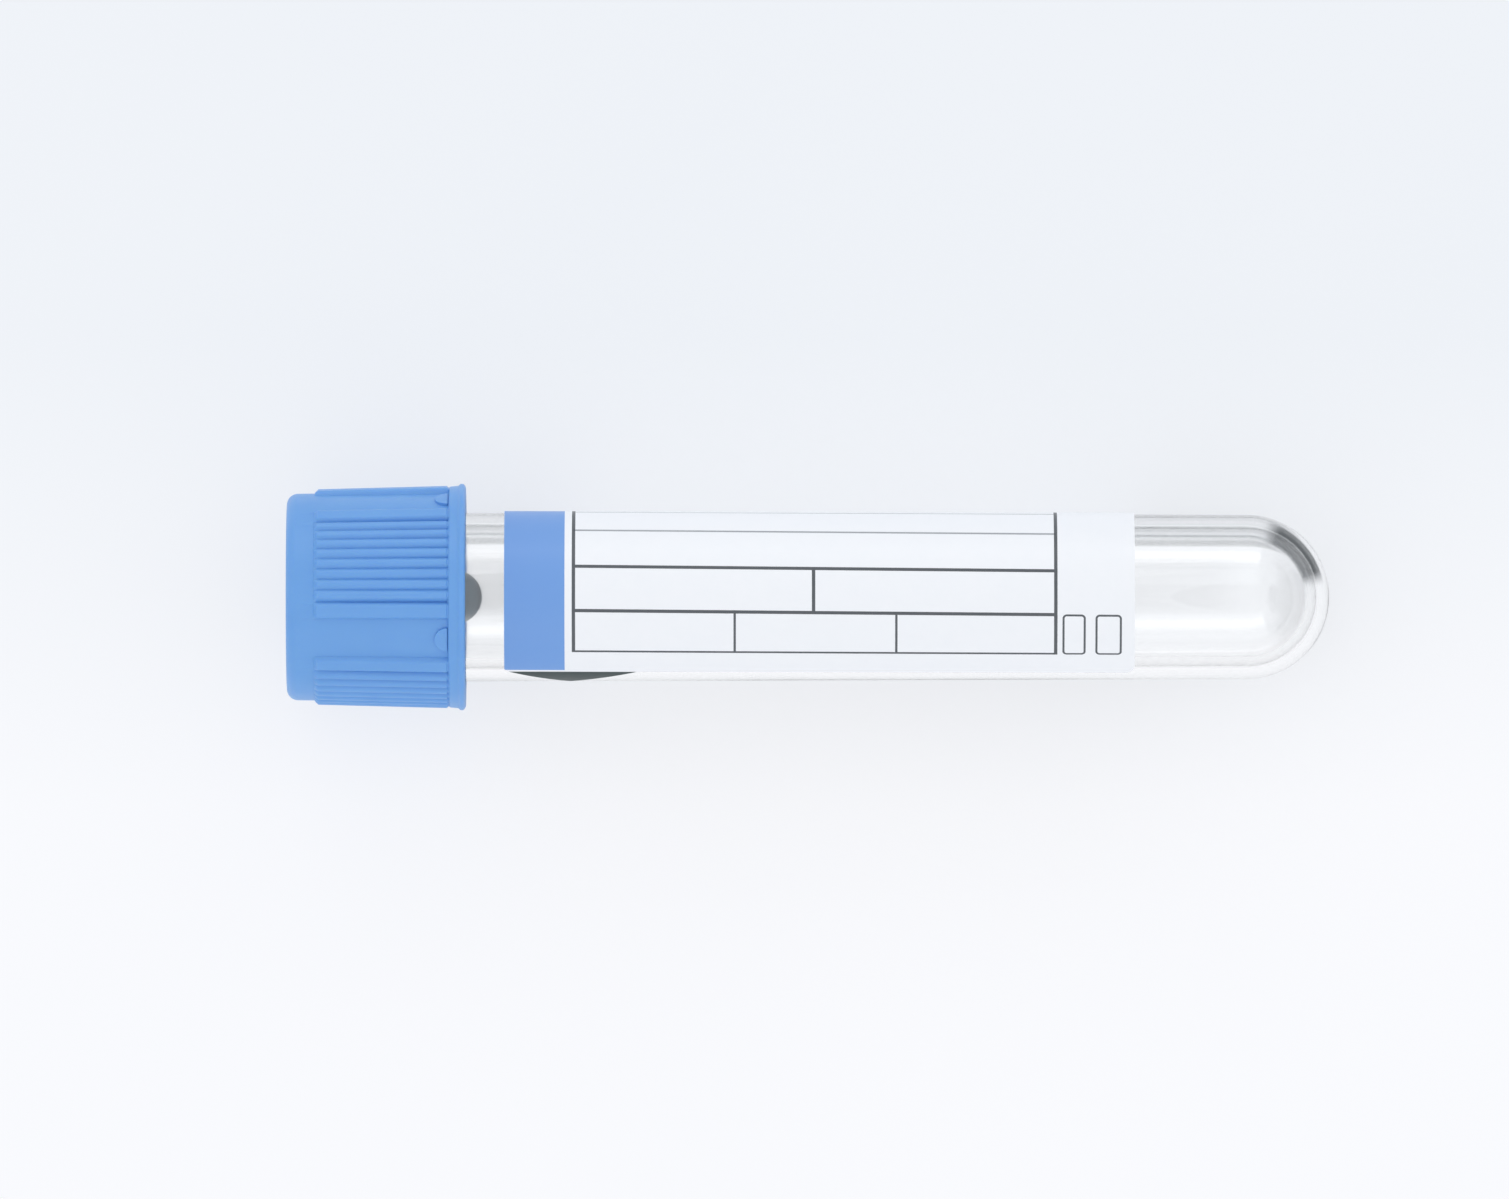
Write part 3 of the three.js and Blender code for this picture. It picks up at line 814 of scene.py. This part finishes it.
def panel_stud(degrees):
    """Half of a low round stud on the panel at that angle."""
    start_clean()
    top = body_radius(grip_end) + stud_rise
    bpy.ops.mesh.primitive_cylinder_add(
        vertices=40, radius=stud_radius, depth=stud_depth, end_fill_type="NGON",
        location=(top - stud_depth / 2, 0, stud_middle), rotation=(0, math.pi / 2, 0),
    )
    bpy.ops.object.transform_apply(location=True, rotation=True, scale=True)
    piece = bpy.context.object
    pick(piece, "VERT", lambda place: True)
    bpy.ops.mesh.bisect(plane_co=(0, 0, grip_end), plane_no=(0, 0, 1), use_fill=True, clear_outer=True)
    weld()
    bevel = piece.modifiers.new("soft_edges", "BEVEL")
    bevel.width = 0.12
    bevel.segments = 4
    bevel.limit_method = "ANGLE"
    bpy.ops.object.modifier_apply(modifier=bevel.name)
    return spun(piece, degrees - 90)


# %% Cap thread
flank_distance = 0.95
spun(ribbed_cap, first_column)
combine(ribbed_cap, [panel_stud(panel_middle + turn) for turn in (0, 90, 180, 270)], "UNION")
cap_thread_height = thread_height + flank_distance
add_thread(ribbed_cap, skirt_radius + ridge_sink, skirt_radius - ridge_rise, cap_thread_height)
print("Cap:", len(ribbed_cap.data.polygons), "faces")

# %% [markdown]
# ## Blue polyethylene
#
# The cap is satin polyethylene, coloured through. Its surface has the very fine grain of the mould,
# with slightly duller and slightly shinier clouds, and faint flow marks that run along the cap. Some
# light goes into the plastic and comes out again, which softens the grooves.


# %% Opaque finishes
cloud_size = 2.5


def solid_finish(name, light, dark, rough, grain, grain_size):
    """A moulded finish with clouds of two colours, a changing gloss and a fine grain."""
    made, tree, shader = material_of(name)
    place = bench_place(tree)
    clouds = noise(tree, place, cloud_size, 3.0, (1, 1, 0.5))
    tree.links.new(blend_colours(tree, clouds, dark, light), shader.inputs["Base Color"])
    gloss = noise(tree, place, cloud_size / 2, 3.0)
    tree.links.new(spread(tree, gloss, rough - 0.05, rough + 0.07), shader.inputs["Roughness"])
    set_bump(tree, shader, noise(tree, place, grain_size, 3.0), grain)
    return made, tree, shader


blue_polyethylene, tree, shader = solid_finish(
    "blue_cap_plastic", (0.153, 0.384, 0.772), (0.131, 0.341, 0.724), 0.40, 0.006, 0.12,
)
shader.inputs["Subsurface Weight"].default_value = 0.25
shader.inputs["Subsurface Radius"].default_value = (0.3, 0.5, 1.0)
shader.inputs["Subsurface Scale"].default_value = 0.0006
finish(ribbed_cap, "cap", "cap", blue_polyethylene)

# %% [markdown]
# ## The ring in the end of the cap
#
# A dark plastic ring is snapped into the end of the cap and keeps the stopper in place. A small bead
# round its edge sits in a groove of the cap.

# %% End ring
ring_face = 0.3
ring_foot = 0.9
ring_hole = 3.7
ring_edge = recess_radius - 0.1
hole_round = 0.15
edge_round = 0.12
bead_rise = 0.11
end_ring = turned("end_ring", [
    *arc(ring_hole + hole_round, ring_face + hole_round, hole_round, 180, 270, 4),
    *arc(ring_edge - edge_round, ring_face + edge_round, edge_round, -90, 0, 4),
    (ring_edge, ring_foot - 0.27), (ring_edge + bead_rise, ring_foot - 0.14),
    (ring_edge + bead_rise, ring_foot - 0.08), (ring_edge, ring_foot),
    (ring_hole + 0.04, ring_foot), (ring_hole, ring_foot - 0.04),
], 160)
dark_plastic, tree, shader = solid_finish(
    "dark_ring_finish", (0.020, 0.021, 0.023), (0.012, 0.013, 0.014), 0.38, 0.005, 0.12,
)
finish(end_ring, "cap_ring", "cap", dark_plastic)

# %% [markdown]
# ## The rubber stopper
#
# One turned piece of grey rubber: a flange that the ring presses down, a waist in the cap's ledge, a
# head, three sealing beads and a rounded nose. The well in its top guides the needle. Rubber has
# a satin gloss, a coarser grain than the plastics and a little dust, which a weak sheen gives.

# %% Stopper
stopper_top = 0.95
top_flange = 0.5
top_flange_radius = 5.48
well_radius = 3.3
well_depth = 2.3
well_round = 0.15
funnel_radius = 1.485
funnel_end = 7.95
waist_radius = 4.68
head_radius = 6.5
head_start = 2.65
head_end = 4.45
head_round = 0.2
plug_radius = 4.60
plug_end = 9.7
nose_radius = 2.04
nose_height = 12.83
seal_rise = 0.14
seal_half_width = 0.26
seal_heights = (5.7, 7.0, 8.3)
seals = [
    point for height in seal_heights
    for point in arc(plug_radius - seal_half_width, height, seal_half_width + seal_rise, -49, 49, 8)
]
rubber_stopper = turned("rubber_stopper", [
    (0, funnel_end + 0.5), (funnel_radius * 0.4, funnel_end + 0.47),
    (funnel_radius * 0.75, funnel_end + 0.33), (funnel_radius, funnel_end),
    (well_radius, stopper_top + well_depth),
    *arc(well_radius + well_round, stopper_top + well_round, well_round, 180, 270, 4),
    *arc(top_flange_radius - 0.1, stopper_top + 0.1, 0.1, -90, 0, 3),
    (top_flange_radius, stopper_top + top_flange),
    (waist_radius, stopper_top + top_flange), (waist_radius, head_start),
    *arc(head_radius - head_round, head_start + head_round, head_round, -90, 0, 4),
    *arc(head_radius - head_round, head_end - head_round, head_round, 0, 90, 4),
    (plug_radius, head_end), *seals,
    (plug_radius, plug_end), (plug_radius - 0.06, plug_end + 0.2), (plug_radius - 0.3, plug_end + 0.35),
    *arc(0, nose_height, nose_radius, 18, 90, 18),
], 128)
grey_rubber, tree, shader = solid_finish(
    "grey_rubber_finish", (0.138, 0.275, 0.370), (0.102, 0.214, 0.298), 0.36, 0.012, 0.16,
)
shader.inputs["Sheen Weight"].default_value = 0.15
shader.inputs["Sheen Roughness"].default_value = 0.5
finish(rubber_stopper, "stopper", "stopper", grey_rubber)

# %% [markdown]
# ## The label
#
# The label is a band of film round the tube, open along one side, so that the sample can be seen. It
# is made as a full band of 0.1 mm, and a cutter, which is a flat outline extruded outwards, takes
# the open side out of it. The outline carries the rounded corners, the slightly skew edges
# and the pointed fill mark.

# %% Sizes of the label, in millimetres and degrees
label_start = 16.6
label_end = 64.6
label_gap = 0.03
label_film = 0.1
label_edge = 60
window_angle = 75
label_skew = 0.45
label_corner = 0.8
mark_start = label_start + 0.3
mark_tip = 21.65
mark_end = 26.7
mark_reach = 18
label_radius = tube_radius(label_start) + label_gap + label_film
label_length = label_end - label_start
label_girth = math.tau * label_radius * (1 - window_angle / 360)
print("Flat, the label is", round(label_length, 1), "by", round(label_girth, 1), "mm")


# %% Label cutter
def window_cutter():
    """The open side of the label as a solid, drawn flat and extruded outwards."""
    half = window_angle / 2
    edge = label_radius * math.sin(math.radians(half))
    tip = label_radius * math.sin(math.radians(half - mark_reach))

    def skewed(x, z):
        return x + label_skew * (z - label_start) / label_length, z

    round_in = arc(edge + label_corner, label_start + label_corner, label_corner, 270, 180, 6)
    round_out = arc(edge + label_corner, label_end - label_corner, label_corner, 180, 90, 6)
    points = [
        (-edge - label_corner, label_start - 1), (-edge - 0.3, label_start), (-edge, mark_start),
        (-tip - 0.12, mark_tip - 0.35), (-tip, mark_tip), (-tip - 0.12, mark_tip + 0.35),
        (-edge, mark_end), *((-x, z) for x, z in round_out), (-edge - label_corner, label_end + 1),
        (edge + label_corner, label_end + 1), *reversed(round_out),
        *reversed(round_in), (edge + label_corner, label_start - 1),
    ]
    points = [skewed(x, z) for x, z in points]
    piece = outline("cutter", [*points, points[0]])
    bpy.ops.mesh.select_all(action="SELECT")
    bpy.ops.mesh.remove_doubles(threshold=0.001)
    bpy.ops.mesh.edge_face_add()
    bpy.ops.mesh.extrude_region_move(TRANSFORM_OT_translate={"value": (0, -9, 0)})
    weld()
    return spun(piece, label_edge + window_angle / 2)


# %% Label band
band_corners = ((0, label_start), (label_film, label_start), (label_film, label_end), (0, label_end))
wrap_label = turned("wrap_label", [
    (tube_radius(height) + label_gap + film, height) for film, height in band_corners
], 240)
combine(wrap_label, [window_cutter()], "DIFFERENCE")
print("Label:", len(wrap_label.data.polygons), "faces")

# %% [markdown]
# ## The print
#
# The print is drawn by the material. Round-the-tube distance and height are worked out in
# millimetres from the label's lower edge, and a Compare node makes each ruled line: it is 1 where a
# distance is within half a line's width of the line's place. The form has ruled rows and fields, two
# small rounded boxes and a blue band. Names, titles and numbers are left off, so the label is
# bare where a maker would print them. The fill mark that points into the window is nearly black.
#
# The film lets a little light in and out again, which subsurface scattering gives. Its printed face
# stays bright then, and its back isn't black where it is seen through the window.


# %% Label coordinates
label_finish, tree, shader = material_of("label_film")
place = bench_place(tree)
apart = add_node(tree, "ShaderNodeSeparateXYZ", {"Vector": place})
along = apart.outputs["Z"]
turn = calculate(tree, "ARCTAN2", apart.outputs["X"], calculate(tree, "MULTIPLY", apart.outputs["Y"], -1.0))
skew_step = label_skew / label_length / label_radius
skew = calculate(tree, "MULTIPLY", calculate(tree, "SUBTRACT", along, label_start), skew_step)
from_edge = calculate(tree, "SUBTRACT", calculate(tree, "ADD", skew, math.radians(label_edge)), turn)
around = calculate(tree, "MULTIPLY", calculate(tree, "FLOORED_MODULO", from_edge, math.tau), label_radius)
full_round = math.tau * label_radius
print("The label's full circle is", round(full_round, 2), "mm")


# %% Ruled lines
def near_to(value, middle, reach):
    """1 where the value lies within reach of the middle."""
    return calculate(tree, "COMPARE", value, middle, reach)


def bar(low_along, high_along, low_around, high_around):
    """1 inside a rectangle of the label."""
    first = near_to(along, (low_along + high_along) / 2, (high_along - low_along) / 2)
    second = near_to(around, (low_around + high_around) / 2, (high_around - low_around) / 2)
    return calculate(tree, "MULTIPLY", first, second)


def either(masks):
    """1 where any of the masks is 1."""
    total = masks[0]
    for mask in masks[1:]:
        total = calculate(tree, "MAXIMUM", total, mask)
    return total


def rounded_box(low_along, high_along, low_around, high_around, corner, line):
    """The outline of a rounded box: 1 within half a line of its edge."""
    middle = ((low_along + high_along) / 2, (low_around + high_around) / 2, 0)
    half = ((high_along - low_along) / 2 - corner, (high_around - low_around) / 2 - corner, 0)
    point = add_node(tree, "ShaderNodeCombineXYZ", {"X": along, "Y": around}).outputs[0]
    moved = add_node(tree, "ShaderNodeVectorMath", {0: point, 1: middle}, operation="SUBTRACT").outputs[0]
    folded = add_node(tree, "ShaderNodeVectorMath", {0: moved}, operation="ABSOLUTE").outputs[0]
    beyond = add_node(tree, "ShaderNodeVectorMath", {0: folded, 1: half}, operation="SUBTRACT").outputs[0]
    outside = add_node(tree, "ShaderNodeVectorMath", {0: beyond, 1: (0, 0, 0)}, operation="MAXIMUM")
    distance = add_node(tree, "ShaderNodeVectorMath", {0: outside.outputs[0]}, operation="LENGTH")
    return near_to(distance.outputs["Value"], corner, line / 2)


def row_line(around_place, half):
    """A ruled line along the whole form, so many millimetres to each side of its place."""
    return bar(form_left, form_right, around_place - half, around_place + half)


def cross_line(along_place, low, high, half):
    """A ruled line round the tube, from low to high."""
    return bar(along_place - half, along_place + half, low, high)


# %% The ruled form
form_left = 21.88
form_right = 58.58
first_row = 2.45
row_pitch = 3.45
rows = 5
row_places = [first_row + row_pitch * i for i in range(rows + 1)]
form_top = row_places[-1]
thirds = (34.15, 46.45)
half_way = 40.15
box_places = ((59.17, 60.78), (61.68, 63.53))
box_top = 5.85
box_corner = 0.25
box_line = 0.16
thin = 0.09
thick = 0.13
dark_lines = either([
    row_line(row_places[0], thin),
    row_line(row_places[1], thick),
    row_line(row_places[2], thick),
    cross_line(form_left, first_row - thin, form_top, thick),
    cross_line(form_right, first_row - thin, form_top, thick),
    *(cross_line(third, row_places[0], row_places[1], thin) for third in thirds),
    cross_line(half_way, row_places[1], row_places[2], thick),
    *(rounded_box(left, right, first_row, box_top, box_corner, box_line) for left, right in box_places),
])
grey_lines = either([row_line(row, thin) for row in row_places[3:]])
print("Form rows at", [round(value, 2) for value in row_places], "mm from the edge")

# %% The blue band and the fill mark
band_end = 21.2
band_inset = 0.25
blue_band = bar(label_start - 1, band_end, band_inset, label_girth - band_inset)
fill_mark = bar(mark_start - 1, mark_end + 1, full_round * 0.9, full_round)
print("The blue band is", round(band_end - label_start, 2), "mm wide")

# %% Label finish
paper = blend_colours(tree, noise(tree, place, 1.2, 3.0), (0.905, 0.932, 0.968), (0.937, 0.958, 0.988))
ink = blend_colours(tree, calculate(tree, "MULTIPLY", grey_lines, 0.7), paper, (0.10, 0.12, 0.14))
ink = blend_colours(tree, calculate(tree, "MULTIPLY", dark_lines, 0.95), ink, (0.05, 0.06, 0.07))
ink = blend_colours(tree, blue_band, ink, (0.165, 0.350, 0.745))
ink = blend_colours(tree, fill_mark, ink, (0.018, 0.040, 0.040))
tree.links.new(ink, shader.inputs["Base Color"])
tree.links.new(spread(tree, noise(tree, place, 0.8, 3.0), 0.32, 0.48), shader.inputs["Roughness"])
set_bump(tree, shader, noise(tree, place, 0.25, 2.0, (1, 1, 0.6)), 0.004)
shader.inputs["Subsurface Weight"].default_value = 0.15
shader.inputs["Subsurface Radius"].default_value = (1.0, 1.0, 1.0)
shader.inputs["Subsurface Scale"].default_value = 0.0003
finish(wrap_label, "label", "tube", label_finish)

# %% [markdown]
# ## Closing

# The visual model has to stay inside the CAD model's box.

# %% Sizes
import json
